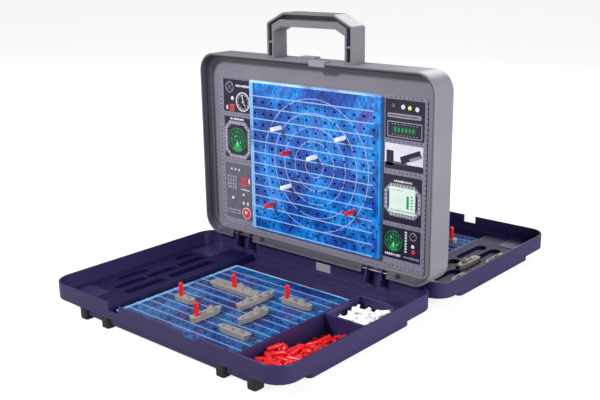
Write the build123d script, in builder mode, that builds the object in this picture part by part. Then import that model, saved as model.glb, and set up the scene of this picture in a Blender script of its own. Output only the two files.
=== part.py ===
from build123d import *
import os

# Two-player fleet guessing case, opened flat on a table.
# An upright frame stands in the middle, with a peg grid and an instrument card on both faces.
# A tray is hinged to each side of it. The two sides are the same parts, turned half a turn
# about the vertical axis, so every side part is modelled once, for the front, and turned.
# Millimetres, +Z up, +Y through the thickness of the frame, origin on the table under its middle.

os.makedirs("parts", exist_ok=True)

# --- Peg and hole pattern ---
pitch = 13.136          # hole to hole, both ways
columns = 14
rows = 12
hole_d = 3.2
peg_d = 5.0
peg_h = 14.5            # what stands out of the hole
tip_clearance = 0.2     # on the diameter, peg tip in a hole
peg_tip_l = 3.6
peg_edge_r = 1.0

# --- Upright frame ---
frame_w = 330.0
frame_h = 220.5
frame_d = 33.0
frame_corner_r = 22.0
frame_wall = 5.0
lip_wall = 2.6          # the wall is thinner along its open edge
lip_depth = 7.0
panel_t = 2.0           # back panel of one half
frame_edge_r = 0.8
frame_gap = 0.4         # frame bottom above the tray rims

# --- Trays ---
tray_w = 333.0
tray_l = 237.0
tray_wall = 2.0
tray_corner_r = 22.0
tray_gap = 6.0          # middle plane to the outside of a hinge wall
band_h = 18.5           # straight upper band
pan_h = 8.0             # narrower pan below it
pan_inset = 4.0
pan_corner = 38.0       # square notch at each corner of the pan
pan_r = 6.0
foot_h = 4.5
rim_edge_r = 0.8
low_edge_r = 1.5

# --- Peg bins, at the right-hand end of a tray ---
bin_x = 112.5
bin_y = -65.0
bin_split_y = -122.0
bin_wall = 2.5
bin_corner_r = 24.0
bin_drop = 1.5          # wall tops below the rim

# --- Peg boards: the same mould lies in the tray and stands in the frame ---
board_side = 1.55       # past the outer half pitch, left and right
board_foot = 1.87       # past the last row
board_r = 3.0
board_header = 17.5
ocean_t = 3.0
grid_t = 4.0
ridge_w = 1.2
ridge_h = 0.4
ocean_x = 6.5
ocean_y = -43.0         # edge beside the hinge wall
grid_top = 192.5        # above the tray rims

# --- Instrument card behind the upright grid ---
card_w = 296.0
card_h = 184.5
card_t = 0.8
card_base = 8.5         # above the tray rims

# --- Hinges ---
hinge_xs = (-102.5, 93.0)
notch_half = 16.7
notch_y = -8.0
pin_d = 3.0
pin_clearance = 0.16      # on the diameter
ear_t = 2.4
ear_offset = 9.6
ear_r = 3.8
boss_long = 11.0
boss_short = 4.0
boss_rise = 3.2
boss_foot = 4.0
pin_skin = 1.0          # boss left closed past each pin end

# --- Handle ---
handle_half = 59.5
handle_leg = 9.7
handle_d = 22.0
handle_h = 50.0
handle_bar = 15.2
handle_cut_x = 24.0
handle_cut_z = 12.0
handle_in_x = 12.0
handle_in_z = 6.0
flange_t = 2.2
grip_flange = 7.4       # under the channel of the bar
web_t = 3.0
rib_z = 17.5            # above the frame top
rib_t = 2.0
tenon = 6.0
tenon_d = 8.0
tenon_h = 3.0
fit_gap = 0.1

# --- Catch on the frame top, and pad in the hinge wall ---
catch_x = 17.3
catch_w = 21.0
catch_t = 1.6
catch_reach = 8.5
catch_drop = 4.3
pad_w = 21.0
pad_h = 9.7
pad_z = -10.85          # middle, from the rim
pad_in = 8.6
pad_out = 4.5
pad_flange_w = 25.0
pad_flange_h = 14.0
pad_flange_t = 1.5

# --- Notches in the far wall ---
square_notch = (-58.0, 17.0, 9.5)       # middle x, width, depth
sloped_notch = (55.0, 25.0, 5.0)
sloped_notch_floor = 15.0
notch_r = 2.0

# --- Feet ---
foot_w = 11.5
foot_l = 13.0
foot_r = 3.0
far_foot_xs = (-112.0, -76.0, 91.0, 130.0)
near_foot_xs = (-100.0, 100.0)
near_foot_y = -30.0
foot_setback = 0.8

# --- Ship rack ---
rack_edge_x = -89.5
rack_gap = 0.5
rack_h = 7.5
rack_floor = 3.6
well_w = 13.0
well_slack = 1.8
rack_columns = (-148.5, -129.0, -109.5)
rack_wells = ((0, 2, -68.0), (0, 3, -147.0), (1, 3, -74.5), (1, 3, -119.5), (1, 3, -165.0),
              (2, 5, -91.0), (2, 4, -160.5))        # column, ship holes, middle y

# --- Ships ---
beam = 10.4
deck_h = 6.0
flush_deck_h = 6.5
hull_over = 2.0         # hull longer than its row of holes
carrier_over = 0.7
stud_clearance = 0.4    # on the diameter, ship stud in a hole
stud_l = 2.6
rest_gap = 0.1
socket_l = 4.0
house_gap = 0.3         # deckhouse to a peg in the next hole
flight_deck_t = 2.0

# --- Heaps of loose pegs ---
heap_gap = 0.6
heap_drop = 8.0         # top of a heap below the rim
heap_slope = 5.0

# --- Screws that hold the two frame halves together ---
screw_d = 2.6
screw_head_d = 5.4
screw_head_h = 1.2
screw_xs = (-135.0, -45.0, 45.0, 135.0)
screw_zs = (25.0, 180.0)        # above the tray rims

# Sizes, levels and places that follow from the values above
peg_tip_d = hole_d - tip_clearance
stud_d = hole_d - stud_clearance
board_w = columns * pitch + 2 * board_side
board_l = board_header + rows * pitch + board_foot
rim_z = foot_h + pan_h + band_h
band_z = rim_z - band_h
ledge_z = band_z + tray_wall
pan_z = band_z - pan_h
floor_z = pan_z + tray_wall
ocean_z = floor_z + ocean_t
frame_z = rim_z + frame_gap
frame_top = frame_z + frame_h
frame_face = frame_d / 2
tray_far = tray_gap + tray_l
tray_mid_y = -(tray_gap + tray_l / 2)
pivot_up = (frame_face + frame_gap - tray_gap - tray_wall) / 2
pivot_y = -(tray_gap + tray_wall + pivot_up)
pivot_z = rim_z + pivot_up
card_y = panel_t + card_t
grid_mid_z = rim_z + grid_top - board_l / 2
rows_mid = board_l / 2 - board_header - rows * pitch / 2
ship_z = ocean_z + ridge_h + rest_gap
handle_top = frame_top + handle_h


def save(piece, name):
    """Label a finished piece and write its file."""
    piece.label = name
    export_step(piece, f"parts/{name}.step")


def save_both(piece, name):
    """Write a front piece and the same piece turned half a turn for the rear."""
    save(piece, f"front_{name}")
    save(piece.rotate(Axis.Z, 180), f"rear_{name}")


def column_x(index):
    """Place of a column of holes from the middle of its board."""
    return (index - (columns - 1) / 2) * pitch


def row_step(index):
    """Place of a row of holes from the middle of its board, towards the header."""
    return rows_mid + ((rows - 1) / 2 - index) * pitch


def tray_outline(inset):
    """Plan of the straight band of a tray."""
    with Locations((0, tray_mid_y)):
        RectangleRounded(tray_w - 2 * inset, tray_l - 2 * inset, tray_corner_r - inset)


def pan_outline(inset, mode=Mode.ADD):
    """Plan of the lower pan: two crossed rectangles, so each corner is notched."""
    width = tray_w - 2 * inset
    length = tray_l - 2 * inset
    radius = pan_r - (inset - pan_inset)
    with BuildSketch(mode=Mode.PRIVATE) as plan:
        with Locations((0, tray_mid_y)):
            RectangleRounded(width, length - 2 * pan_corner, radius)
            RectangleRounded(width - 2 * pan_corner, length, radius)
    add(plan.sketch, mode=mode)


# --- Frame halves ---
def frame_cavity(wall, start, depth):
    """Hollow of the frame inside a wall of this thickness."""
    with BuildSketch(Plane.XZ.offset(start)) as profile:
        with Locations((0, frame_z + frame_h / 2)):
            RectangleRounded(frame_w - 2 * wall, frame_h - 2 * wall, frame_corner_r - wall)
    extrude(profile.sketch, amount=depth, mode=Mode.SUBTRACT)


def pin_boss(start, length):
    """Trapezoid block on the frame floor that holds one end of a hinge pin."""
    with BuildSketch(Plane.YZ.offset(start)) as profile:
        with BuildLine():
            Polyline(
                (pivot_y - boss_foot, frame_z + 0.5),
                (pivot_y + boss_foot, frame_z + 0.5),
                (pivot_y + boss_foot - 1.5, pivot_z + boss_rise),
                (pivot_y - boss_foot + 1.5, pivot_z + boss_rise),
                close=True,
            )
        make_face()
    extrude(profile.sketch, amount=length)


def pin_start(hinge_x):
    return hinge_x - notch_half - boss_short + pin_skin


pin_length = 2 * notch_half + boss_short + boss_long - 2 * pin_skin

with BuildPart() as frame_half:
    with BuildSketch(Plane.XZ):
        with Locations((0, frame_z + frame_h / 2)):
            RectangleRounded(frame_w, frame_h, frame_corner_r)
    extrude(amount=frame_face)
    fillet(frame_half.faces().sort_by(Axis.Y)[0].edges(), frame_edge_r)
    frame_cavity(frame_wall, panel_t, frame_face - panel_t)
    frame_cavity(lip_wall, frame_face - lip_depth, lip_depth)
    # Notches for the tray ears, through the lip and the floor
    with BuildSketch(Plane.XY.offset(frame_z)):
        with Locations(*[(x, -frame_face) for x in hinge_xs]):
            Rectangle(2 * notch_half, 2 * (frame_face + notch_y))
    extrude(amount=frame_wall, mode=Mode.SUBTRACT)
    for x in hinge_xs:
        pin_boss(x + notch_half, boss_long)
        pin_boss(x - notch_half - boss_short, boss_short)
        with BuildSketch(Plane.YZ.offset(pin_start(x))):
            with Locations((pivot_y, pivot_z)):
                Circle(pin_d / 2)
        extrude(amount=pin_length, mode=Mode.SUBTRACT)
    # Sockets for the handle, shared by the two halves
    with BuildSketch(Plane.XY.offset(frame_top)):
        with Locations((handle_half - handle_leg / 2, 0), (handle_leg / 2 - handle_half, 0)):
            Rectangle(tenon + 2 * fit_gap, tenon_d + 2 * fit_gap)
    extrude(amount=-tenon_h - fit_gap, mode=Mode.SUBTRACT)

screw_places = [(x, rim_z + z) for x in screw_xs for z in screw_zs]

with BuildPart() as frame_front_half:
    add(frame_half.part)
    with BuildSketch(Plane.XZ.offset(panel_t)):
        with Locations(*screw_places):
            Circle(screw_head_d / 2)
    extrude(amount=-screw_head_h, mode=Mode.SUBTRACT)
    with BuildSketch(Plane.XZ):
        with Locations(*screw_places):
            Circle(screw_d / 2)
    extrude(amount=panel_t, mode=Mode.SUBTRACT)
save(frame_front_half.part, "frame_front_half")

with BuildPart() as frame_rear_half:
    add(frame_half.part.rotate(Axis.Z, 180))
    with BuildSketch(Plane.XZ):
        with Locations(*screw_places):
            Circle(screw_d / 2)
    extrude(amount=-panel_t, mode=Mode.SUBTRACT)
save(frame_rear_half.part, "frame_rear_half")

with BuildPart() as frame_screws:
    with BuildSketch(Plane.XZ.offset(panel_t)):
        with Locations(*screw_places):
            Circle(screw_head_d / 2)
    extrude(amount=-screw_head_h)
    with BuildSketch(Plane.XZ.offset(panel_t - screw_head_h)):
        with Locations(*screw_places):
            Circle(screw_d / 2)
    extrude(amount=-(2 * panel_t - screw_head_h))
save(frame_screws.part, "frame_screws")

with BuildPart() as hinge_pins:
    for x in hinge_xs:
        with BuildSketch(Plane.YZ.offset(pin_start(x))):
            with Locations((pivot_y, pivot_z)):
                Circle(pin_d / 2)
        extrude(amount=pin_length)
        with BuildSketch(Plane.YZ.offset(-pin_start(x))):
            with Locations((-pivot_y, pivot_z)):
                Circle(pin_d / 2)
        extrude(amount=-pin_length)
save(hinge_pins.part, "hinge_pins")


# --- Handle: a channelled bow over the middle of the frame ---
def bow_outline(inset, grip_inset):
    """Front view of the handle: outside with large cut corners, less the finger gap."""
    half = handle_half - inset
    top = handle_top - inset
    inner = handle_half - handle_leg + inset
    under = handle_top - handle_bar + grip_inset
    with BuildLine() as outline:
        Polyline(
            (-half, frame_top + inset),
            (-half, handle_top - handle_cut_z - inset / 2),
            (-handle_half + handle_cut_x + inset / 4, top),
            (handle_half - handle_cut_x - inset / 4, top),
            (half, handle_top - handle_cut_z - inset / 2),
            (half, frame_top + inset),
            (inner, frame_top + inset),
            (inner, under - handle_in_z),
            (inner - handle_in_x, under),
            (handle_in_x - inner, under),
            (-inner, under - handle_in_z),
            (-inner, frame_top + inset),
            close=True,
        )
    make_face(outline.edges())


with BuildPart() as handle:
    with BuildSketch(Plane.XZ.offset(-handle_d / 2)):
        bow_outline(0, 0)
    extrude(amount=handle_d)
    corners = handle.edges().filter_by(Axis.Y).group_by(Axis.Z)
    fillet(corners[-1], 6.0)
    fillet(corners[-2] + corners[-3], 4.0)
    # One channel in each face, leaving the web
    for side in (-1, 1):
        with BuildSketch(Plane.XZ.offset(side * web_t / 2)):
            bow_outline(flange_t, grip_flange)
        extrude(amount=side * handle_d, mode=Mode.SUBTRACT)
    # A cross rib in each leg
    with BuildSketch(Plane.XZ.offset(-handle_d / 2)):
        with Locations(*[(s * (handle_half - handle_leg / 2), frame_top + rib_z) for s in (-1, 1)]):
            Rectangle(handle_leg, rib_t)
    extrude(amount=handle_d)
    with BuildSketch(Plane.XY.offset(frame_top)):
        with Locations((handle_half - handle_leg / 2, 0), (handle_leg / 2 - handle_half, 0)):
            Rectangle(tenon, tenon_d)
    extrude(amount=-tenon_h)
save(handle.part, "handle")

# --- Catch: a plate on the frame top with a lip in front ---
with BuildPart() as catch:
    with BuildSketch(Plane.YZ.offset(catch_x - catch_w / 2)):
        with BuildLine():
            Polyline(
                (-frame_face + catch_reach, frame_top),
                (-frame_face + catch_reach, frame_top + catch_t),
                (-frame_face - catch_t, frame_top + catch_t),
                (-frame_face - catch_t, frame_top - catch_drop),
                (-frame_face, frame_top - catch_drop),
                (-frame_face, frame_top),
                close=True,
            )
        make_face()
    extrude(amount=catch_w)
save_both(catch.part, "catch")

# --- Instrument card ---
with BuildPart() as instrument_card:
    with BuildSketch(Plane.XZ.offset(panel_t)):
        with Locations((0, rim_z + card_base + card_h / 2)):
            RectangleRounded(card_w, card_h, board_r)
    extrude(amount=card_t)
save_both(instrument_card.part, "instrument_card")


# --- Peg boards ---
def peg_board(plane, thickness):
    """One board, drawn on its back face: ridges between the rows, a plain header, all the holes."""
    with BuildPart() as board:
        with BuildSketch(plane):
            RectangleRounded(board_w, board_l, board_r)
        extrude(amount=thickness)
        with BuildSketch(plane.offset(thickness)):
            with Locations((0, rows_mid)):
                with GridLocations(board_w, pitch, 1, rows + 1):
                    Rectangle(board_w, ridge_w)
        extrude(amount=ridge_h)
        with BuildSketch(plane):
            with Locations((0, rows_mid)):
                with GridLocations(pitch, pitch, columns, rows):
                    Circle(hole_d / 2)
        extrude(amount=thickness + ridge_h, mode=Mode.SUBTRACT)
    return board.part


ocean_mid_y = ocean_y - board_l / 2
ocean_plane = Plane(origin=(ocean_x, ocean_mid_y, floor_z), x_dir=(1, 0, 0), z_dir=(0, 0, 1))
grid_plane = Plane(origin=(0, -card_y, grid_mid_z), x_dir=(1, 0, 0), z_dir=(0, -1, 0))
save_both(peg_board(ocean_plane, ocean_t), "ocean_board")
save_both(peg_board(grid_plane, grid_t), "target_grid")


# --- Pegs ---
def pegs(plane, places):
    """Pegs standing on this plane: a round body, and a tip in the hole below it."""
    up = Axis(plane.origin, plane.z_dir)
    with BuildPart() as group:
        with BuildSketch(plane):
            with Locations(*places):
                Circle(peg_d / 2)
        extrude(amount=peg_h)
        fillet(group.faces().sort_by(up)[-len(places):].edges(), peg_edge_r)
        with BuildSketch(plane):
            with Locations(*places):
                Circle(peg_tip_d / 2)
        extrude(amount=-peg_tip_l)
    return group.part


grid_face = grid_plane.offset(grid_t)
white_cells = ((3, 2), (10, 2), (7, 4), (4, 7))         # column, row
red_cells = ((4, 4), (2, 9), (11, 8))
save_both(pegs(grid_face, [(column_x(c), row_step(r)) for c, r in white_cells]), "white_target_pegs")
save_both(pegs(grid_face, [(column_x(c), row_step(r)) for c, r in red_cells]), "red_target_pegs")


# --- Tray shell ---
def bin_plan(inset, edge):
    """Plan of the peg bins together, with a large round at the hinge-side outer corner."""
    with BuildSketch(mode=Mode.PRIVATE) as plan:
        with Locations((bin_x + inset, bin_y - inset)):
            width = tray_w / 2 - edge - bin_x - inset
            length = tray_far - edge + bin_y - inset
            Rectangle(width, length, align=(Align.MIN, Align.MAX))
        corner = plan.vertices().group_by(Axis.X)[-1].sort_by(Axis.Y)[-1]
        fillet(corner, bin_corner_r - inset)
    return plan.sketch


def bin_walls():
    """Wall round the bins and the wall between them."""
    add(bin_plan(0, 0))
    add(bin_plan(bin_wall, tray_wall), mode=Mode.SUBTRACT)
    with Locations((bin_x, bin_split_y)):
        Rectangle(tray_w / 2 - bin_x, bin_wall, align=(Align.MIN, Align.MAX))


def ear(start):
    """Hinge ear: a disc round the pin and a gusset down the outside of the hinge wall."""
    root_y = -(tray_gap + tray_wall / 2)
    neck_z = rim_z - 0.6
    with BuildSketch(Plane.YZ.offset(start)) as profile:
        with BuildLine():
            Polyline(
                (pivot_y + ear_r, pivot_z),
                (pivot_y + ear_r, neck_z),
                (root_y, neck_z),
                (root_y, rim_z - 14.0),
                (-tray_gap - 13.0, rim_z - 8.0),
                (pivot_y - ear_r, pivot_z),
                close=True,
            )
        make_face()
        with Locations((pivot_y, pivot_z)):
            Circle(ear_r)
            Circle((pin_d + pin_clearance) / 2, mode=Mode.SUBTRACT)
    extrude(profile.sketch, amount=ear_t)


with BuildPart() as tray_shell:
    with BuildSketch(Plane.XY.offset(band_z)):
        tray_outline(0)
    extrude(amount=band_h)
    fillet(tray_shell.faces().sort_by(Axis.Z)[0].edges(), low_edge_r)
    with BuildSketch(Plane.XY.offset(ledge_z)):
        tray_outline(tray_wall)
    extrude(amount=band_h, mode=Mode.SUBTRACT)
    fillet(tray_shell.faces().sort_by(Axis.Z)[-1].edges(), rim_edge_r)
    with BuildSketch(Plane.XY.offset(pan_z)):
        pan_outline(pan_inset)
    extrude(amount=pan_h)
    fillet(tray_shell.faces().sort_by(Axis.Z)[0].edges(), low_edge_r)
    with BuildSketch(Plane.XY.offset(floor_z)):
        pan_outline(pan_inset + tray_wall)
    extrude(amount=pan_h, mode=Mode.SUBTRACT)
    # Bin walls: inside the pan up to the ledge, inside the band above it
    with BuildSketch(Plane.XY.offset(floor_z)):
        bin_walls()
        pan_outline(pan_inset + tray_wall / 2, mode=Mode.INTERSECT)
    extrude(amount=pan_h)
    with BuildSketch(Plane.XY.offset(ledge_z)):
        bin_walls()
        with Locations((0, tray_mid_y)):
            RectangleRounded(
                tray_w - tray_wall, tray_l - tray_wall, tray_corner_r - tray_wall / 2, mode=Mode.INTERSECT
            )
    extrude(amount=rim_z - bin_drop - ledge_z)
    # Square notch and sloped notch in the far wall
    far_cut = Plane.XZ.offset(tray_far - 2 * tray_wall)
    notch_x, notch_w, notch_deep = square_notch
    with BuildSketch(far_cut):
        with Locations((notch_x, rim_z)):
            Rectangle(notch_w, notch_deep, align=(Align.CENTER, Align.MAX))
            Rectangle(notch_w, notch_deep, align=(Align.CENTER, Align.MIN))
    extrude(amount=3 * tray_wall, mode=Mode.SUBTRACT)
    slope_x, slope_w, slope_deep = sloped_notch
    with BuildSketch(far_cut):
        with BuildLine():
            Polyline(
                (slope_x - slope_w / 2, rim_z + 1),
                (slope_x - slope_w / 2 + notch_r, rim_z - slope_deep),
                (slope_x - slope_w / 2 + notch_r + sloped_notch_floor, rim_z - slope_deep),
                (slope_x + slope_w / 2, rim_z + 1),
                close=True,
            )
        make_face()
    extrude(amount=3 * tray_wall, mode=Mode.SUBTRACT)
    # Window for the pad in the hinge wall
    with BuildSketch(Plane.XZ.offset(tray_gap - tray_wall)):
        with Locations((catch_x, rim_z + pad_z)):
            Rectangle(pad_w + 2 * fit_gap, pad_h + 2 * fit_gap)
    extrude(amount=3 * tray_wall, mode=Mode.SUBTRACT)
    for x in hinge_xs:
        ear(x - ear_offset - ear_t / 2)
        ear(x + ear_offset - ear_t / 2)
save_both(tray_shell.part, "tray_shell")

# --- Base pad, pushed through the hinge wall ---
with BuildPart() as base_pad:
    with BuildSketch(Plane.XZ.offset(pad_out)):
        with Locations((catch_x, rim_z + pad_z)):
            Rectangle(pad_w, pad_h)
    extrude(amount=pad_in - pad_out)
    fillet(base_pad.faces().sort_by(Axis.Y)[0].edges(), 0.6)
    with BuildSketch(Plane.XZ.offset(pad_out)):
        with Locations((catch_x, rim_z + pad_z)):
            RectangleRounded(pad_flange_w, pad_flange_h, pad_flange_t)
    extrude(amount=pad_flange_t)
save_both(base_pad.part, "base_pad")

# --- Feet: blocks under the pan, and lobes that hug its far edge ---
with BuildPart() as tray_feet:
    far_foot_y = -tray_far + foot_setback + foot_l / 2
    with BuildSketch(Plane.XY):
        with Locations(*[(x, far_foot_y) for x in far_foot_xs]):
            RectangleRounded(foot_w, foot_l, foot_r)
    extrude(amount=band_z)
    with BuildSketch(Plane.XY):
        with Locations(*[(x, near_foot_y) for x in near_foot_xs]):
            RectangleRounded(foot_w, foot_l, foot_r)
    extrude(amount=pan_z)
    fillet(tray_feet.faces().filter_by(Plane.XY).group_by(Axis.Z)[0].edges(), low_edge_r)
    with BuildSketch(Plane.XY.offset(pan_z)):
        pan_outline(pan_inset - fit_gap)
    extrude(amount=pan_h, mode=Mode.SUBTRACT)
save_both(tray_feet.part, "tray_feet")

# --- Ship rack: an insert over the left of the pan, with a well for each ship ---
with BuildPart() as ship_rack:
    with BuildSketch(Plane.XY.offset(floor_z)):
        with Locations((-tray_w / 2, tray_mid_y)):
            Rectangle(rack_edge_x + tray_w / 2, tray_l, align=(Align.MIN, Align.CENTER))
        pan_outline(pan_inset + tray_wall + rack_gap, mode=Mode.INTERSECT)
    extrude(amount=rack_h)
    for column, holes, y in rack_wells:
        with BuildSketch(Plane.XY.offset(floor_z + rack_floor)):
            with Locations((rack_columns[column], y)):
                SlotOverall(holes * pitch + hull_over + well_slack, well_w, rotation=90)
        extrude(amount=rack_h, mode=Mode.SUBTRACT)
    fillet(ship_rack.faces().sort_by(Axis.Z)[-1].edges(), rim_edge_r)
save_both(ship_rack.part, "ship_rack")


# --- Ships ---
def hull_plan(half_length, half_beam, bow):
    """Plan of a hull along X: round stern, straight sides, curved bow."""
    with BuildLine() as outline:
        Bezier((-half_length, 0), (-half_length, 0.7 * half_beam), (-half_length, half_beam),
               (half_beam - half_length, half_beam))
        Line((half_beam - half_length, half_beam), (half_length - bow, half_beam))
        Bezier((half_length - bow, half_beam), (half_length - 0.4 * bow, half_beam),
               (half_length, 0.4 * half_beam), (half_length, 0))
        mirror(about=Plane.XZ)
    make_face(outline.edges())


def hole_steps(holes):
    """Places along a ship of its holes."""
    return [(index - (holes - 1) / 2) * pitch for index in range(holes)]


def ship(x, y, z, turn, holes, blocks, drums, bow=14.0, flat_deck=False):
    """A ship on its studs. Blocks and drums are the deckhouses, turrets and funnels."""
    plane = Plane(Location((x, y, z), (0, 0, turn)))
    over = carrier_over if flat_deck else hull_over
    half = (holes * pitch + over) / 2
    top = flush_deck_h if flat_deck else deck_h
    steps = [(step, 0) for step in hole_steps(holes)]
    with BuildPart() as vessel:
        with BuildSketch(plane):
            hull_plan(half - 1.5, 0.36 * beam, bow)
        with BuildSketch(plane.offset(top - flight_deck_t / 2 if flat_deck else top)):
            hull_plan(half - 0.1, 0.48 * beam, bow)
        loft()
        if flat_deck:
            with BuildSketch(plane.offset(top - flight_deck_t)):
                RectangleRounded(2 * half, beam + 1.6, 2.0)
            extrude(amount=flight_deck_t)
        for along, across, base, length, width, height in blocks:
            with BuildSketch(plane.offset(top + base - 0.1)):
                with Locations((along, across)):
                    RectangleRounded(length, width, 0.3 * width)
            extrude(amount=height + 0.1)
        for along, across, base, diameter, height in drums:
            with BuildSketch(plane.offset(top + base - 0.1)):
                with Locations((along, across)):
                    Circle(diameter / 2)
            extrude(amount=height + 0.1)
        with BuildSketch(plane.offset(top - socket_l)):
            with Locations(*steps):
                Circle(hole_d / 2)
        extrude(amount=2 * socket_l, mode=Mode.SUBTRACT)
        with BuildSketch(plane):
            with Locations(*steps):
                Circle(stud_d / 2)
        extrude(amount=-stud_l)
    return vessel.part


def ship_peg(x, y, z, turn, holes, hole, deck):
    """The red peg that marks a hit in one hole of a ship."""
    plane = Plane(Location((x, y, z + deck), (0, 0, turn)))
    return pegs(plane, [(hole_steps(holes)[hole], 0)])


# Deckhouses between the holes: (along, across, base, length, width, height)
# Drums, for turrets and funnels: (along, across, base, diameter, height)
step = pitch / 2
house = pitch - peg_d - 2 * house_gap
kinds = {
    "carrier": dict(
        holes=5, flat_deck=True, bow=10.0,
        blocks=[(step, 3.2, 0, house, 4.0, 3.8)],
        drums=[(step, 3.2, 3.8, 2.6, 0.7)],
    ),
    "battleship": dict(
        holes=4, bow=16.0,
        blocks=[(0, 0, 0, house, 6.0, 2.4), (0, 0, 2.4, 4.6, 4.2, 1.4), (-2 * step, 0, 0, house, 5.6, 1.4)],
        drums=[(0.6, 0, 3.8, 2.6, 1.1), (-2 * step, 0, 1.4, 3.4, 2.4), (2 * step, 0, 0, 5.6, 1.6)],
    ),
    "cruiser": dict(
        holes=3, bow=13.0,
        blocks=[(step, 0, 0, house, 6.0, 1.9), (-step, 0, 0, house, 5.6, 1.3)],
        drums=[(step, 0, 1.9, 3.6, 1.5), (-step, 0, 1.3, 3.0, 1.1)],
    ),
    "patrol_boat": dict(
        holes=2, bow=11.0,
        blocks=[(0, 0, 0, house, 5.4, 1.0)],
        drums=[(0, 0, 1.0, 3.2, 1.2)],
    ),
    "frigate": dict(
        holes=3, bow=13.0,
        blocks=[(step, 0, 0, house, 6.6, 2.4), (-step, 0, 0, house, 6.0, 1.0)],
        drums=[(step, 0, 2.4, 4.2, 1.8), (-step, 0, 1.0, 3.4, 1.0)],
    ),
    "destroyer": dict(
        holes=3, bow=13.0,
        blocks=[(-step, 0, 0, house, 6.4, 2.6), (step, 0, 0, house, 5.2, 1.3)],
        drums=[(-step, 0, 2.6, 3.8, 2.0), (step, 0, 1.3, 2.8, 1.2)],
    ),
    "gunboat": dict(
        holes=3, bow=13.0,
        blocks=[(-step, 0, 0, house, 7.0, 1.2), (step, 0, 0, house, 5.0, 0.8)],
        drums=[(-step, 0, 1.2, 4.0, 0.9), (step, 0, 0.8, 3.2, 0.9)],
    ),
}

# Front fleet: kind, column, row, heading, peg hole
front_fleet = (
    ("carrier", 4, 3, 0, 2),
    ("battleship", 7, 3.5, 90, None),
    ("cruiser", 10, 2, 0, 0),
    ("patrol_boat", 2.5, 7, 0, 0),
    ("frigate", 6, 8, 90, 0),
    ("destroyer", 9, 6, -90, None),
    ("gunboat", 10, 9, 180, None),
)
rear_fleet = (
    ("carrier", 9, 3, 90, None),
    ("battleship", 5.5, 5, 180, None),
    ("cruiser", 2, 9, 0, 0),
    ("destroyer", 12, 8, -90, None),
)
# Rear ships that are still in the rack: kind, well
rear_stored = (("patrol_boat", 0), ("gunboat", 1), ("frigate", 3))


def launch(side, name, place, hole):
    """Write one ship, and its peg if it has been hit."""
    kind = kinds[name]
    deck = flush_deck_h if kind.get("flat_deck") else deck_h
    pieces = [(ship(*place, **kind), name)]
    if hole is not None:
        pieces.append((ship_peg(*place, kind["holes"], hole, deck), f"{name}_peg"))
    for piece, label in pieces:
        if side == "rear":
            piece = piece.rotate(Axis.Z, 180)
        save(piece, f"{side}_{label}")


for side, fleet in (("front", front_fleet), ("rear", rear_fleet)):
    for name, column, row, heading, hole in fleet:
        x = ocean_x + column_x(column)
        y = ocean_mid_y + row_step(row)
        launch(side, name, (x, y, ship_z, heading), hole)
stored_z = floor_z + rack_floor + stud_l + rest_gap
for name, well in rear_stored:
    column, holes, y = rack_wells[well]
    launch("rear", name, (rack_columns[column], y, stored_z, 90), None)


# --- Loose pegs: one low mound in each bin ---
def peg_heap(near_y, far_y):
    """Mound of loose pegs between two walls of a bin, on the pan floor and on the ledge."""
    with BuildPart() as heap:
        for level, lower in ((floor_z, True), (ledge_z, False)):
            with BuildSketch(Plane.XY.offset(level + heap_gap / 2)):
                add(bin_plan(bin_wall + heap_gap, tray_wall + heap_gap))
                with Locations((bin_x, near_y - heap_gap)):
                    Rectangle(
                        tray_w / 2 - bin_x, near_y - far_y - 2 * heap_gap,
                        align=(Align.MIN, Align.MAX), mode=Mode.INTERSECT,
                    )
                if lower:
                    pan_outline(pan_inset + tray_wall + heap_gap, mode=Mode.INTERSECT)
                else:
                    with Locations((0, tray_mid_y)):
                        RectangleRounded(
                            tray_w - 2 * (tray_wall + heap_gap), tray_l - 2 * (tray_wall + heap_gap),
                            tray_corner_r - tray_wall - heap_gap, mode=Mode.INTERSECT,
                        )
            extrude(amount=rim_z - heap_drop - level - heap_gap / 2)
        chamfer(heap.faces().sort_by(Axis.Z)[-1].edges(), heap_slope)
    return heap.part


bin_far = -(tray_far - tray_wall)
save_both(peg_heap(bin_split_y - bin_wall, bin_far), "red_peg_heap")
save_both(peg_heap(bin_y - bin_wall, bin_split_y), "white_peg_heap")
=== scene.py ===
import math

import bpy
import numpy as np
from mathutils import Matrix, Vector


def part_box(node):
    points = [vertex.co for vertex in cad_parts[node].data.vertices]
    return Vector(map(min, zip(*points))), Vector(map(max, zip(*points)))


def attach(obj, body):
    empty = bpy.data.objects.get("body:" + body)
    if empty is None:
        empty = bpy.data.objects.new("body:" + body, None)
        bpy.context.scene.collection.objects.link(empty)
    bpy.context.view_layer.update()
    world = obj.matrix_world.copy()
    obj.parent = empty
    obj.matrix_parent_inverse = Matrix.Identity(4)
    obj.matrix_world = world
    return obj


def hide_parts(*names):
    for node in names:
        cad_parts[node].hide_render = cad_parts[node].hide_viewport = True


# Fleet guessing case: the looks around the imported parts. Lengths in this file are millimetres
# unless a note says otherwise, and become metres where a mesh or a light is made.

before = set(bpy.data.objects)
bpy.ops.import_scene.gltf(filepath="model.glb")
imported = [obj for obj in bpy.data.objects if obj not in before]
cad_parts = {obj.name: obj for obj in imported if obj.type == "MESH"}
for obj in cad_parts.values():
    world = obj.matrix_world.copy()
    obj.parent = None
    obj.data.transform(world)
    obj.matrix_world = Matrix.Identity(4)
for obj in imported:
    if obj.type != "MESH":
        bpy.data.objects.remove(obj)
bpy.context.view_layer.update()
metre = 0.001
print("frame loaded:", len(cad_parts), "nodes")


# Lowest and highest corner of a node in millimetres.
def nodeBox(node):
    low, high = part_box(node)
    return np.array(low) / metre, np.array(high) / metre


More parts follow.
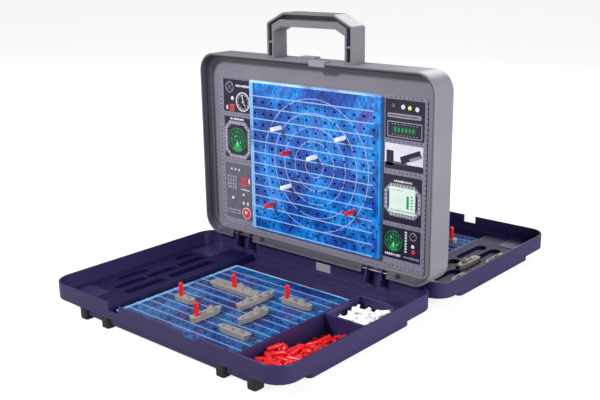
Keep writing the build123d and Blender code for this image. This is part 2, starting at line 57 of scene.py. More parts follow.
cardLow = nodeBox("front_instrument_card")[0]
gridTop = nodeBox("front_target_grid")[1][2]
oceanLow, oceanHigh = nodeBox("front_ocean_board")
rimHeight = cardLow[2] - 8.5          # tray rims above the table
holePitch = 13.136                    # hole to hole, both ways
firstRow = 17.5                       # top edge of a board to its first row of holes
sides = (("front", 1), ("rear", -1))  # the rear is the front turned half a turn


# sRGB hex to a linear RGBA tuple.
def toLinear(hexColour):
    value = [int(hexColour[i:i + 2], 16) / 255 for i in (1, 3, 5)]
    return tuple(v / 12.92 if v <= 0.04045 else ((v + 0.055) / 1.055) ** 2.4 for v in value) + (1.0,)


# One shader node: settings are its properties, inputs are values or sockets to link.
def addNode(tree, kind, inputs=None, **settings):
    made = tree.nodes.new("ShaderNode" + kind)
    for name, value in settings.items():
        setattr(made, name, value)
    for name, value in (inputs or {}).items():
        if isinstance(value, bpy.types.NodeSocket):
            tree.links.new(value, made.inputs[name])
        else:
            made.inputs[name].default_value = value
    return made


# An empty material with its Principled shader, constants set on the shader's own sockets.
def newMaterial(name, **shader):
    made = bpy.data.materials.new(name)
    made.use_nodes = True
    tree = made.node_tree
    tree.nodes.clear()
    settings = {key.replace("_", " "): value for key, value in shader.items()}
    surface = addNode(tree, "BsdfPrincipled", settings)
    addNode(tree, "OutputMaterial", {"Surface": surface.outputs[0]})
    return made, tree, surface


# Colour stops of a ramp node: (position, hex colour).
def setRamp(ramp, *stops):
    elements = ramp.color_ramp.elements
    while len(elements) > 2:
        elements.remove(elements[-1])
    for index, (position, colour) in enumerate(stops):
        element = elements[index] if index < 2 else elements.new(position)
        element.position = position
        element.color = toLinear(colour)


# Place in millimetres, angles in degrees, lens in millimetres on a 36 mm sensor.
cameraSetup = dict(
    place=(618.31, -728.40, 364.50), yaw=-41.39, pitch=15.74, roll=-0.752, lens=52.85, sensor=36,
)


# Camera from its place, heading, downward pitch and roll.
def addCamera(setup):
    yaw, pitch, roll = (math.radians(setup[key]) for key in ("yaw", "pitch", "roll"))
    ahead = Vector((math.sin(yaw) * math.cos(pitch), math.cos(yaw) * math.cos(pitch), -math.sin(pitch)))
    right = Vector((math.cos(yaw), -math.sin(yaw), 0.0))
    above = right.cross(ahead)
    across = math.cos(roll) * right + math.sin(roll) * above
    upward = -math.sin(roll) * right + math.cos(roll) * above
    data = bpy.data.cameras.new("camera")
    data.lens = setup["lens"]
    data.sensor_width = setup["sensor"]
    data.clip_start = 0.01
    camera = bpy.data.objects.new("camera", data)
    bpy.context.scene.collection.objects.link(camera)
    turn = Matrix((across, upward, -ahead)).transposed()
    camera.matrix_world = Matrix.Translation(Vector(setup["place"]) * metre) @ turn.to_4x4()
    bpy.context.scene.camera = camera


# Each lamp: place in millimetres, power in watts, side in metres.
lightSetup = dict(
    key=((-750, -1550, 1250), 44.0, 0.26),
    side=((1450, -40, 430), 28.0, 1.0),
    back=((-300, 1300, 1100), 12.0, 0.9),
    sky=0.33,
    floorTone=0.34,
    floorGlow=(0.10, 0.80),     # as the case is lit by it, and as it is seen
    floorReach=30.0,            # metres
)


# Square area light aimed at the middle of the case.
def addLight(name, place, power, size):
    data = bpy.data.lights.new(name, "AREA")
    data.energy = power
    data.size = size
    lamp = bpy.data.objects.new(name, data)
    bpy.context.scene.collection.objects.link(lamp)
    start = Vector(place) * metre
    aim = Vector((0.0, 0.0, 0.1)) - start
    lamp.matrix_world = Matrix.Translation(start) @ aim.to_track_quat("-Z", "Y").to_matrix().to_4x4()


# Three lamps, a white world and a floor that looks white but sends little light back up.
def addStudio(setup):
    for name in ("key", "side", "back"):
        addLight(name, *setup[name])
    world = bpy.data.worlds.new("studio")
    world.use_nodes = True
    tree = world.node_tree
    seen = addNode(tree, "LightPath").outputs["Is Camera Ray"]
    # the backdrop itself stays white
    strength = addNode(tree, "MapRange", {"Value": seen, 3: setup["sky"], 4: 1.0})
    tree.nodes["Background"].inputs["Color"].default_value = (1.0, 1.0, 1.0, 1.0)
    tree.links.new(strength.outputs[0], tree.nodes["Background"].inputs["Strength"])
    bpy.context.scene.world = world
    bpy.context.scene.view_settings.view_transform = "Standard"
    mesh = bpy.data.meshes.new("floor")
    far = setup["floorReach"]
    mesh.from_pydata([(-far, -far, 0), (far, -far, 0), (far, far, 0), (-far, far, 0)], [], [(0, 1, 2, 3)])
    floor = bpy.data.objects.new("floor", mesh)
    bpy.context.scene.collection.objects.link(floor)
    tone = setup["floorTone"]
    matt, tree, surface = newMaterial(
        "painted studio floor", Base_Color=(tone, tone, tone, 1.0), Roughness=0.9,
        Emission_Color=(1.0, 1.0, 1.0, 1.0),
    )
    seen = addNode(tree, "LightPath").outputs["Is Camera Ray"]
    glow = addNode(tree, "MapRange", {"Value": seen, 3: setup["floorGlow"][0], 4: setup["floorGlow"][1]})
    tree.links.new(glow.outputs[0], surface.inputs["Emission Strength"])
    mesh.materials.append(matt)


addCamera(cameraSetup)
addStudio(lightSetup)
print("camera and studio placed")


# A noise value spread evenly between two limits, as a socket: its middle part, 0.3 to 0.7, is used.
def spread(tree, noise, low, high):
    limits = {"Value": noise.outputs[0], 1: 0.3, 2: 0.7, 3: low, 4: high}
    return addNode(tree, "MapRange", limits).outputs[0]


# A colour multiplied by a shade from a socket, by this share.
def shaded(tree, colour, shade, share=1.0):
    mixed = {0: share, 6: colour, 7: shade}
    return addNode(tree, "Mix", mixed, data_type="RGBA", blend_type="MULTIPLY").outputs[2]


# A colour laid over another by the weight of a socket.
def overlaid(tree, weight, under, over):
    return addNode(tree, "Mix", {0: weight, 6: under, 7: toLinear(over)}, data_type="RGBA").outputs[2]


cloudSize = 60.0        # a moulding's faint clouding, mm across
grainDepth = 0.2        # a spark-eroded grain is half as deep, and is drawn coarser so that it shows


# Injection-moulded plastic: a satin spark-eroded grain, a slight clouding, softened edges.
def moulded(name, colour, roughness, grain, speckle=0.06, edge=0.5, bump=0.12, **shader):
    matt, tree, surface = newMaterial(name, Roughness=roughness, **shader)
    place = addNode(tree, "TexCoord").outputs["Object"]
    fine = addNode(tree, "TexNoise", {"Vector": place, "Scale": 1000.0 / grain, "Detail": 2.0})
    cloud = addNode(tree, "TexNoise", {"Vector": place, "Scale": 1000.0 / cloudSize, "Detail": 3.0})
    shade = spread(tree, cloud, 1 - speckle, 1 + speckle)
    tint = shaded(tree, toLinear(colour), shade)
    tree.links.new(tint, surface.inputs["Base Color"])
    rough = spread(tree, fine, roughness * 0.85, roughness * 1.15)
    tree.links.new(rough, surface.inputs["Roughness"])
    soft = addNode(tree, "Bevel", {"Radius": edge * metre}, samples=4)
    depth = grainDepth * metre
    relief = addNode(tree, "Bump", {
        "Height": fine.outputs[0], "Normal": soft.outputs[0], "Strength": bump, "Distance": depth
    })
    tree.links.new(relief.outputs[0], surface.inputs["Normal"])
    return matt, tree, surface, tint


# Gives every slot of a CAD node this material.
def paint(node, matt):
    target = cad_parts[node]
    if not target.material_slots:
        target.data.materials.append(matt)
    for slot in target.material_slots:
        slot.material = matt


# Satin ABS in one grey, with painted shade: the rim's face and its inner wall are given a darker grey for
# the shade that falls there. The distance to the outline of the case is that of a rounded rectangle: |(x,
# z) beyond the straight part| less the radius.
rimShadeSetup = dict(
    light="#75727c", dark="#4c4953",
    skin=2.0, blend=1.4,        # rim's thickness, and how much of it the change of grey takes
    backWall=4.2, fade=1.5,     # panel's height above the middle of the frame, and the same change above it
    cornerRadius=22.0,
)


def rimShadedFrame(setup):
    matt, tree, surface, tint = moulded("satin ABS, grey, painted rim shade", setup["light"], 0.38, 1.1)
    low, high = nodeBox("frame_front_half")
    middle = (high[2] + low[2]) / 2 * metre
    half = ((high - low) / 2 - setup["cornerRadius"]) * metre
    place = addNode(tree, "TexCoord").outputs["Object"]
    centre = (0.0, 0.0, middle)
    centred = addNode(tree, "VectorMath", {0: place, 1: centre}, operation="SUBTRACT").outputs[0]
    size = addNode(tree, "VectorMath", {0: centred}, operation="ABSOLUTE").outputs[0]
    straight = (half[0], 0.0, half[2])
    beyond = addNode(tree, "VectorMath", {0: size, 1: straight}, operation="SUBTRACT").outputs[0]
    flat = addNode(tree, "VectorMath", {0: beyond, 1: (1.0, 0.0, 1.0)}, operation="MULTIPLY").outputs[0]
    kept = addNode(tree, "VectorMath", {0: flat, 1: (0.0, 0.0, 0.0)}, operation="MAXIMUM").outputs[0]
    reach = addNode(tree, "VectorMath", {0: kept}, operation="LENGTH").outputs["Value"]
    wall = (setup["cornerRadius"] - setup["skin"]) * metre
    inside = addNode(tree, "MapRange", {
        "Value": reach, 1: wall, 2: wall + setup["blend"] * metre, 3: 1.0, 4: 0.0
    }).outputs[0]
    depth = addNode(tree, "SeparateXYZ", {0: size}).outputs[1]
    panel = setup["backWall"] * metre
    proud = addNode(tree, "MapRange", {
        "Value": depth, 1: panel, 2: panel + setup["fade"] * metre, 3: 0.0, 4: 1.0
    }).outputs[0]
    # painted shade: where the weight is 1, on the rim's face and inner wall, the grey is darkened
    weight = addNode(tree, "Math", {0: inside, 1: proud}, operation="MULTIPLY").outputs[0]
    tree.links.new(overlaid(tree, weight, tint, setup["dark"]), surface.inputs["Base Color"])
    return matt


frameGrey = rimShadedFrame(rimShadeSetup)
# smooth satin moulding: soft broad highlights along its edges
handleGrey = moulded("satin ABS, handle grey", "#726f78", 0.36, 1.1)[0]
catchGrey = moulded("satin ABS, light grey", "#8b8993", 0.42, 1.1)[0]
# waxy and fairly dark, with a slight sheen on the outer walls
navyShell = moulded(
    "polypropylene, navy", "#2a224d", 0.36, 1.3, speckle=0.10, Specular_IOR_Level=0.38
)[0]
# dull black with hardly any highlight
feetBlack = moulded("thermoplastic rubber, black", "#16141c", 0.5, 1.0)[0]
# thin sheet drawn over a mould: flatter than the shell round it, and darker, as the shell's navy carries
# painted shade for the recess the rack lies in
navySheetShaded = moulded(
    "vacuum-formed styrene, navy, painted shade", "#150e3c", 0.5, 1.6, speckle=0.10, Specular_IOR_Level=0.2
)[0]
# matt warm grey, a little uneven, so that the small hulls read
shipGrey = moulded("polystyrene, warm grey", "#958e89", 0.45, 0.9, speckle=0.05, edge=0.35)[0]
# glossy and bright, with small sharp highlights
redPlastic = moulded("polyethylene, red", "#d8141c", 0.30, 1.0, speckle=0.05, edge=0.3, bump=0.05)[0]
whitePlastic = moulded("polyethylene, white", "#fbfbfc", 0.30, 1.0, speckle=0.02, edge=0.3, bump=0.05)[0]


# Drawn steel: dark grey metal with fine bright marks along the wire.
def steelWire():
    matt, tree, surface = newMaterial("drawn steel", Metallic=1.0, Roughness=0.3)
    place = addNode(tree, "TexCoord").outputs["Object"]
    stretch = addNode(tree, "Mapping", {"Vector": place, "Scale": (30.0, 1500.0, 1500.0)})
    lines = addNode(tree, "TexNoise", {"Vector": stretch.outputs[0], "Scale": 1.0, "Detail": 2.0})
    ramp = addNode(tree, "ValToRGB", {"Fac": lines.outputs[0]})
    setRamp(ramp, (0.3, "#45454d"), (0.7, "#75757f"))
    tree.links.new(ramp.outputs[0], surface.inputs["Base Color"])
    return matt


steel = steelWire()


# Printed boards, measured in cells: one cell is a hole to the next. Row 0 is the top row of holes and
# column 0 is the middle of the board.
boardPrint = dict(
    patchScale=0.27,                        # sea patches about four cells across
    markScale=(5.0, 3.0, 1.0),              # marks a fifth of a cell wide and a third of a cell high
    markShades=(0.45, 1.75), strokeScale=7.0, printShare=0.75,
    fieldRows=(-6.0, 6.08), fieldColumns=(-0.28, 6.72),     # middle of the field of holes, half its size
    columnLine=(0.020, 0.35), rowLine=(0.046, 0.80),        # half width, strength
    ringLine=(0.028, 0.70), ringShift=0.19, ringReach=82.0,
    # painted highlights along the board's edges: along, test, limit, colour, strength
    edges=(
        ("column", "LESS_THAN", -6.72, "#8cc4f0", 0.75),
        ("column", "GREATER_THAN", 6.98, "#2f9be6", 0.7),
        ("row", "GREATER_THAN", 1.14, "#b4dcf6", 0.9),
        ("row", "LESS_THAN", -12.05, "#2f9be6", 0.5),
    ),
)


# Printed clear styrene: sea patches, small instrument marks in every cell, pale row lines that follow
# the ridges, thin column lines, and rings of even spacing where a centre is given.
def printedBoard(name, side, axis, start, middle, ringCentre, palette, lineColours, glow, setup):
    # glow: a faint painted glow in the print's own colour; no lamp lies in the board
    matt, tree, surface = newMaterial(name, Roughness=0.15, Emission_Strength=glow)

    def maths(operation, *values):
        return addNode(tree, "Math", dict(enumerate(values)), operation=operation).outputs[0]

    # 1 within a half width of every even step of a value, 0 elsewhere, times a strength and a mask
    def line(value, width, strength, mask):
        near = maths("LESS_THAN", maths("PINGPONG", value, 0.5), width)
        return maths("MULTIPLY", maths("MULTIPLY", near, mask), strength)

    place = addNode(tree, "TexCoord").outputs["Object"]
    turned = addNode(tree, "Mapping", {"Vector": place, "Scale": (side / metre, side / metre, 1 / metre)})
    split = addNode(tree, "SeparateXYZ", {0: turned.outputs[0]})
    across = split.outputs[0]
    upward = split.outputs[axis]
    column = maths("MULTIPLY_ADD", across, 1 / holePitch, -middle / holePitch)
    row = maths("MULTIPLY_ADD", upward, 1 / holePitch, -start / holePitch)
    cells = addNode(tree, "CombineXYZ", {0: column, 1: row, 2: 0.0}).outputs[0]
    patch = addNode(tree, "TexNoise", {
        "Vector": cells, "Scale": setup["patchScale"], "Detail": 2.5, "Distortion": 0.3
    })
    sea = addNode(tree, "ValToRGB", {"Fac": patch.outputs[0]})
    setRamp(sea, *palette)
    # marks are blocks switched by chance, and broken up by a finer noise
    blocks = addNode(tree, "Mapping", {"Vector": cells, "Scale": setup["markScale"]})
    snapped = addNode(tree, "VectorMath", {0: blocks.outputs[0]}, operation="FLOOR")
    chance = addNode(tree, "TexWhiteNoise", {"Vector": snapped.outputs[0]}).outputs[0]
    low, high = setup["markShades"]
    marked = addNode(tree, "MapRange", {"Value": chance, 1: 0.0, 2: 1.0, 3: low, 4: high}).outputs[0]
    strokes = addNode(tree, "TexNoise", {
        "Vector": cells, "Scale": setup["strokeScale"], "Detail": 3.0, "Roughness": 0.7
    }).outputs[0]
    broken = addNode(tree, "MapRange", {"Value": strokes, 1: 0.35, 2: 0.65, 3: 0.7, 4: 1.3}).outputs[0]
    colour = shaded(tree, sea.outputs[0], maths("MULTIPLY", marked, broken), setup["printShare"])
    # both kinds of line are kept to the field of holes, which ends short of the right-hand edge
    inRows = maths("COMPARE", row, *setup["fieldRows"])
    inColumns = maths("COMPARE", column, *setup["fieldColumns"])
    field = maths("MULTIPLY", inRows, inColumns)
    colour = overlaid(tree, line(column, *setup["columnLine"], field), colour, lineColours[0])
    colour = overlaid(tree, line(row, *setup["rowLine"], field), colour, lineColours[1])
    if ringCentre:
        centreX, centreZ, spacing = ringCentre
        spot = addNode(tree, "CombineXYZ", {0: across, 1: upward, 2: 0.0})
        reach = addNode(tree, "VectorMath", {
            0: spot.outputs[0], 1: (centreX, centreZ, 0.0)
        }, operation="DISTANCE").outputs["Value"]
        turns = maths("MULTIPLY_ADD", reach, 1 / spacing, setup["ringShift"])
        inside = maths("LESS_THAN", reach, setup["ringReach"])
        colour = overlaid(tree, line(turns, *setup["ringLine"], inside), colour, lineColours[2])
    # painted highlight: the clear rim of the moulding is made pale where its cut edge would catch the light
    clouds = addNode(tree, "TexNoise", {"Vector": cells, "Scale": 0.35, "Detail": 1.0}).outputs[0]
    for along, test, limit, tone, strength in setup["edges"]:
        mask = maths(test, column if along == "column" else row, limit)
        limits = {"Value": clouds, 1: 0.35, 2: 0.6, 3: strength * 0.3, 4: strength}
        broken = addNode(tree, "MapRange", limits)
        colour = overlaid(tree, maths("MULTIPLY", mask, broken.outputs[0]), colour, tone)
    tree.links.new(colour, surface.inputs["Base Color"])
    tree.links.new(colour, surface.inputs["Emission Color"])
    soft = addNode(tree, "Bevel", {"Radius": 0.25 * metre}, samples=4)
    tree.links.new(soft.outputs[0], surface.inputs["Normal"])
    return matt


gridPalette = ((0.30, "#0c2472"), (0.45, "#10479e"), (0.57, "#0c76c6"), (0.72, "#444ca6"))
oceanPalette = ((0.30, "#0d2358"), (0.46, "#173b7e"), (0.58, "#1b5e94"), (0.72, "#303f82"))
gridLines = ("#3f9ede", "#93c6ec", "#b4b2e0")     # columns, rows, rings
oceanLines = ("#3f6fb0", "#8ea4cc", "#8ea4cc")
gridRings = (4.0, rimHeight + 104.7, 15.55)       # across, height, spacing


# Closed outline: quarter circles of this radius about the four inner corner points.
def roundedBlock(cx, cz, width, height, radius=0.0, corners=3):
    radius = max(min(radius, width / 2, height / 2), 0.01)
    turn = np.linspace(0, math.pi / 2, corners + 1)
    angle = (turn[None, :] + np.arange(4)[:, None] * math.pi / 2).ravel()
    sx = np.repeat([1, -1, -1, 1], corners + 1) * (width / 2 - radius)
    sz = np.repeat([1, 1, -1, -1], corners + 1) * (height / 2 - radius)
    return np.stack([cx + sx + radius * np.cos(angle), cz + sz + radius * np.sin(angle)], axis=1)


# Circle outline: centre plus radius times cosine and sine of even steps.
def disc(cx, cz, radius, count=24):
    angle = np.arange(count) * 2 * math.pi / count
    return np.stack([cx + radius * np.cos(angle), cz + radius * np.sin(angle)], axis=1)


# Rectangle with its corners cut at 45 degrees.
def octagon(cx, cz, width, height, cut):
    x, z = width / 2, height / 2
    return np.array([(x, cut - z), (x, z - cut), (x - cut, z), (cut - x, z),
                     (-x, z - cut), (-x, cut - z), (cut - x, -z), (x - cut, -z)]) + (cx, cz)


# Rings of one low block: the outline at its foot, again below its top edge, and drawn in by the ease at
# its top. Returns points (across, upward, height) and faces.
def raised(outline, low, high, ease=0.15):
    middle = outline.mean(axis=0)
    reach = np.abs(outline - middle).max()
    inner = middle + (outline - middle) * (1 - ease / reach)
    rings = [np.column_stack([ring, np.full(len(ring), level)]) for ring, level in
             ((outline, low), (outline, high - ease * 0.7), (inner, high))]
    return stack(np.array(rings))


# Flat-topped ring: outer and inner circles joined over the top, closed underneath.
def hoop(cx, cz, radius, width, low, high, count=32):
    outer, inner = disc(cx, cz, radius, count), disc(cx, cz, radius - width, count)
    rings = [np.column_stack([ring, np.full(count, level)]) for ring, level in
             ((outer, low), (outer, high), (inner, high), (inner, low))]
    points, faces = stack(np.array(rings), caps=False)
    total = len(points)
    around = np.arange(count)
    ahead = (around + 1) % count
    foot = np.stack([around, around + total - count, ahead + total - count, ahead], axis=1)
    return points, faces + foot.tolist()


# Quads between each ring of points and the next, and a cap on each end.
def stack(rings, caps=True):
    levels, count = rings.shape[:2]
    here = np.arange(count)
    ahead = (here + 1) % count
    base = (np.arange(levels - 1) * count)[:, None]
    quads = np.stack([base + here, base + ahead, base + ahead + count, base + here + count], axis=-1)
    faces = quads.reshape(-1, 4).tolist()
    if caps:
        faces += [here[::-1].tolist(), (here + (levels - 1) * count).tolist()]
    return rings.reshape(-1, 3), faces


# Joins (points, faces) parts into one list of each.
def gather(parts):
    points, faces, start = [], [], 0
    for partPoints, partFaces in parts:
        points.append(partPoints)
        faces += [[index + start for index in face] for face in partFaces]
        start += len(partPoints)
    return np.concatenate(points), faces


# Mesh piece in metres with its place in its mesh, riding a body.
def makePiece(name, points, faces, matt, body, smooth=False):
    mesh = bpy.data.meshes.new(name)
    mesh.from_pydata((points * metre).tolist(), [], faces)
    mesh.validate()
    if smooth:
        mesh.shade_smooth()
        mesh.set_sharp_from_angle(angle=math.radians(50))
    mesh.materials.append(matt)
    piece = bpy.data.objects.new(name, mesh)
    bpy.context.scene.collection.objects.link(piece)
    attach(piece, body)
    return piece


# Printed and varnished card: even colour with a faint mottle the size of a fingertip. Lamp caps, glass
# and screens are smoother, and some of them are given a faint painted glow, as none of them is a lamp.
def printed(name, colour, roughness=0.4, change=0.08, glow=0.0, scale=9.0):
    matt, tree, surface = newMaterial(name, Roughness=roughness, Emission_Strength=glow)
    place = addNode(tree, "TexCoord").outputs["Object"]
    mottle = addNode(tree, "TexNoise", {"Vector": place, "Scale": 1000.0 / scale, "Detail": 3.0})
    tint = shaded(tree, toLinear(colour), spread(tree, mottle, 1 - change, 1 + change))
    tree.links.new(tint, surface.inputs["Base Color"])
    tree.links.new(tint, surface.inputs["Emission Color"])
    return matt


cardInks = {
    "lilac": printed("varnished card, lilac grey", "#7d798c", 0.38, 0.16, scale=3.0),
    "plate": printed("varnished card, blue black", "#1d1a2e", 0.3, 0.25),
    "stone": printed("varnished card, stone grey", "#5b5865", 0.35, 0.15),
    "rivet": printed("varnished card, dark rivets", "#4c4860", 0.4),
    "pale": printed("varnished card, pale marks", "#d9d6e2", 0.4),
    "grey": printed("varnished card, grey marks", "#8d8a9a", 0.4),
    # lamp caps, radar glass and the screen carry a faint painted glow; no light lies behind them
    "red": printed("red lamp cap, acrylic, painted glow", "#c8303c", 0.25, glow=0.1),
    "yellow": printed("yellow lamp cap, acrylic, painted glow", "#e8dc78", 0.25, glow=0.1),
    "deepGreen": printed("radar glass, deep green", "#123a2c", 0.2),
    "green": printed("radar glass, green, painted glow", "#1f8a4c", 0.2, glow=0.15),
    "brightGreen": printed("radar glass, bright green, painted glow", "#7fe0a0", 0.2, glow=0.2),
    "screen": printed("pale green screen, painted glow", "#cfe3d8", 0.2, 0.06, glow=0.05),
}


# A row or column of small blocks at even steps.
def bars(count, x0, z0, dx, dz, width, height):
    return [roundedBlock(x0 + i * dx, z0 + i * dz, width, height, 0.3) for i in range(count)]


# A line of blocks of uneven width, standing for a label without letters.
def marks(x0, x1, z, height, seed):
    draw = np.random.default_rng(seed)
    out, x = [], x0
    while x < x1:
        width = draw.uniform(0.8, 2.2)
        out.append(roundedBlock(x + width / 2, z, width, height * draw.uniform(0.6, 1.0), 0.15))
        x += width + 0.7
    return out


# A thin pointer from a centre, as a turned rectangle.
def needle(cx, cz, length, angle, width=0.8):
    turn = math.radians(angle)
    along = np.array([math.cos(turn), math.sin(turn)])
    beside = np.array([-along[1], along[0]]) * width / 2
    start = np.array([cx, cz])
    end = start + along * length
    return np.array([start - beside, end - beside, end + beside, start + beside])


# Round studs at even steps round an octagon.
def studs(cx, cz, width, height, cut, gap, radius):
    loop = octagon(cx, cz, width, height, cut)
    ends = np.roll(loop, -1, axis=0)
    out = []
    for start, end in zip(loop, ends):
        count = max(int(np.linalg.norm(end - start) / gap), 1)
        out += [disc(*(start + (end - start) * i / count), radius, 8) for i in range(count)]
    return out


# Fields of the two strips: middle across from the middle of the card and upward from the tray rims,
# then width and height. Every other place on the card is given the same way.
panels = {
    "plate": [
        (-117.5, 171, 45, 38.5), (-118, 121, 44, 50),
        (120.7, 169.2, 47.5, 40.5), (119.5, 85.5, 47, 51), (119.2, 37.5, 47.5, 35),
    ],
    "stone": [(-119.5, 54.5, 43, 69)],
}
rivetStep = 5.2
# across, radius, top
rivetColumns = ((-145, 0.9, 0.45), (147.5, 0.9, 0.45), (-94.8, 0.7, 0.4), (95.3, 0.7, 0.4))
# upward, starts across
rivetRows = (
    (191.4, (-140, 99)), (149, (-140,)), (92.5, (-140,)), (12, (-140, 99)),
    (146.3, (99,)), (114, (99,)), (57.5, (99,)),
)
screens = ((-118.3, 118.5, 42, 45), (120.0, 84.5, 46, 36))
radars = ((-118.3, 118.5, 15.0), (110, 39.5, 11.5))     # middle, radius


# Every relief shape on one card, by ink: low blocks and rings with their feet on the card or in a field.
def cardShapes():
    shapes = {ink: [] for ink in cardInks}

    def put(ink, outlines, top, foot=0.0):
        shapes[ink] += [raised(outline, foot, top) for outline in outlines]

    def ring(ink, *values):
        shapes[ink].append(hoop(*values))

    for ink, fields in panels.items():
        put(ink, [roundedBlock(*field, 0.8) for field in fields], 0.4)
    # rivets along the borders of both strips
    for x, radius, top in rivetColumns:
        put("rivet", [disc(x, z, radius, 8) for z in np.arange(12, 192, rivetStep)], top)
    for z, starts in rivetRows:
        for start in starts:
            put("rivet", [disc(start + i * rivetStep, z, 0.8, 8) for i in range(9)], 0.45)
    # left strip, top: compass, marks, lamps and the large dial
    ring("grey", -129, 181, 6.6, 0.9, 0.4, 0.9)
    put("grey", [needle(-129, 181, 5.2, a, 0.6) for a in (40, 130, 220, 310)], 0.8, 0.4)
    put("pale", marks(-119, -97, 183.3, 3.2, 3), 0.8, 0.4)
    put("pale", [disc(-125, 168, 2.3, 16), roundedBlock(-134, 156.5, 2.4, 5, 1)], 1.0, 0.4)
    put("red", [roundedBlock(-125.5, 156.8, 8, 8.5, 1.2)], 1.2, 0.4)
    put("stone", [roundedBlock(-125.5, 156.8, 4.0, 4.5, 0.8)], 1.4, 0.4)
    ring("pale", -107.5, 165, 11.4, 1.2, 0.4, 1.2)
    ring("grey", -107.5, 165, 8.8, 0.5, 0.4, 0.9)
    put("pale", [needle(-107.5 + 7.2 * math.cos(a), 165 + 7.2 * math.sin(a), 2.4, math.degrees(a), 0.6)
                 for a in np.arange(12) * math.pi / 6], 0.9, 0.4)
    put("pale", [
        needle(-107.5, 165, 8.0, 100, 1.3), needle(-107.5, 165, 6.0, 305, 1.0), disc(-107.5, 165, 1.7, 12)
    ], 1.1, 0.4)
    # left strip, middle and right strip, lower middle: octagon screens
    for cx, cz, w, h in screens:
        put("lilac", [octagon(cx, cz, w, h, 8)], 0.8, 0.4)
        put("plate", [octagon(cx, cz, w - 9, h - 9, 6)], 0.95, 0.4)
        put("pale", studs(cx, cz, w - 4.5, h - 4.5, 7, 3.6, 0.8), 1.2, 0.4)
        put("pale", marks(cx - 11, cx + 11, cz + h / 2 + 2.4, 2.6, int(abs(cx))), 0.8, 0.4)
    put("screen", [roundedBlock(120, 84.8, 32.5, 28, 1.5)], 1.25, 0.4)
    put("grey", marks(106, 122, 95.5, 1.2, 11) + marks(106, 134, 73.8, 1.6, 12), 1.35, 0.4)
    put("green", [roundedBlock(127, 84, 3, 14, 0.5)] + bars(5, 132, 78, 0, 3.2, 3, 1.4), 1.3, 0.4)
    # radar discs: green glass, rings, a cross and a bright sweep
    for cx, cz, radius in radars:
        put("deepGreen", [disc(cx, cz, radius, 32)], 1.1, 0.4)
        for share in (0.35, 0.66, 0.97):
            ring("green", cx, cz, radius * share, 0.5, 0.4, 1.25)
        sweep = np.radians(np.linspace(235, 305, 12))
        rim = np.column_stack([np.cos(sweep), np.sin(sweep)]) * radius * 0.9 + (cx, cz)
        put("green", [np.vstack([[cx, cz], rim])], 1.18, 0.4)
        put("green", [needle(cx, cz, radius * 0.95, a, 0.45) for a in (0, 90, 180, 270)], 1.22, 0.4)
        glints = [disc(cx - 3, cz + 4, 0.9, 8), disc(cx + 5, cz - 3, 0.9, 8)]
        put("brightGreen", [roundedBlock(cx, cz - radius * 0.35, 1.4, 5, 0.4)] + glints, 1.4, 0.4)
    # left strip, bottom: keypad, lamps, label and the round button
    put("pale", bars(3, -130, 81.6, 6.3, 0, 2.2, 2.4), 0.9, 0.4)
    keys = [(-136 + 4.2 * i, 58.5 + 4.4 * j) for i in range(4) for j in range(4)]
    put("grey", [roundedBlock(x, z, 3.2, 3.2, 0.6) for x, z in keys], 1.1, 0.4)
    put("red", [roundedBlock(-109.5, 68, 10.5, 11, 1)], 1.0, 0.4)
    put("stone", [roundedBlock(-109.5, 68, 6, 6.5, 1)], 1.2, 0.4)
    put("pale", [
        roundedBlock(-101, 69.5, 2.4, 6.5, 0.8), roundedBlock(-108, 58, 15, 0.9, 0.3),
        roundedBlock(-111, 51.5, 3, 3, 0.6), disc(-129, 45.5, 2.2, 5),
        roundedBlock(-111.5, 41, 3, 4, 1), roundedBlock(-104.3, 41, 3, 4, 1),
    ], 0.9, 0.4)
    put("grey", [roundedBlock(-128, 28.5, 22, 5, 0.8)], 0.8, 0.4)
    put("plate", marks(-138, -119, 28.5, 2.2, 5), 1.0, 0.4)
    ring("pale", -106.5, 29, 7.2, 0.9, 0.4, 1.2)
    put("red", [disc(-106.5, 29, 6.2, 28)], 1.6, 0.4)
    put("pale", [disc(-107.0, 30, 2.0, 16)], 1.8, 1.0)
    # right strip, top: lamps, label and the display
    put("stone", [disc(107, 183, 2.2, 16)], 0.9, 0.4)
    put("pale", [disc(119, 182.4, 2.4, 16), disc(136, 181.4, 2.4, 16)], 1.1, 0.4)
    put("yellow", [disc(127, 182, 2.2, 16)], 1.1, 0.4)
    put("grey", [roundedBlock(120.5, 173, 41, 4.6, 0.6)], 0.8, 0.4)
    put("plate", marks(102, 138, 173, 1.8, 7), 0.95, 0.4)
    put("grey", [roundedBlock(121, 158.8, 42.5, 16.4, 0.8)], 0.7, 0.4)
    put("plate", [roundedBlock(121, 158.8, 40.5, 14.4, 0.8)], 0.8, 0.4)
    put("grey", bars(9, 106, 164.2, 3.8, 0, 1.4, 1.2) + bars(9, 106, 153.4, 3.8, 0, 1.4, 1.2), 0.95, 0.4)
    put("deepGreen", [roundedBlock(121, 158.8, 30, 7.5, 0.8)], 1.05, 0.4)
    put("green", bars(6, 110, 158.8, 4.4, 0, 2.2, 4.2), 1.15, 0.4)
    # right strip, picture: a plain harbour scene
    put("pale", [roundedBlock(120.5, 130.5, 47, 26.5, 0.6)], 0.4)
    harbour = [roundedBlock(120.5, 120.4, 47, 6.4, 0.4), roundedBlock(103.5, 128.5, 9, 16, 0.4)]
    put("plate", harbour, 0.55, 0.3)
    put("stone", [roundedBlock(116, 124.2, 18, 2.6, 1.2)], 0.6, 0.3)
    put("plate", [needle(117, 127, 26, 22, 7.5)], 0.6, 0.3)
    put("grey", [needle(128, 128.5, 14, 22, 3.0)], 0.7, 0.3)
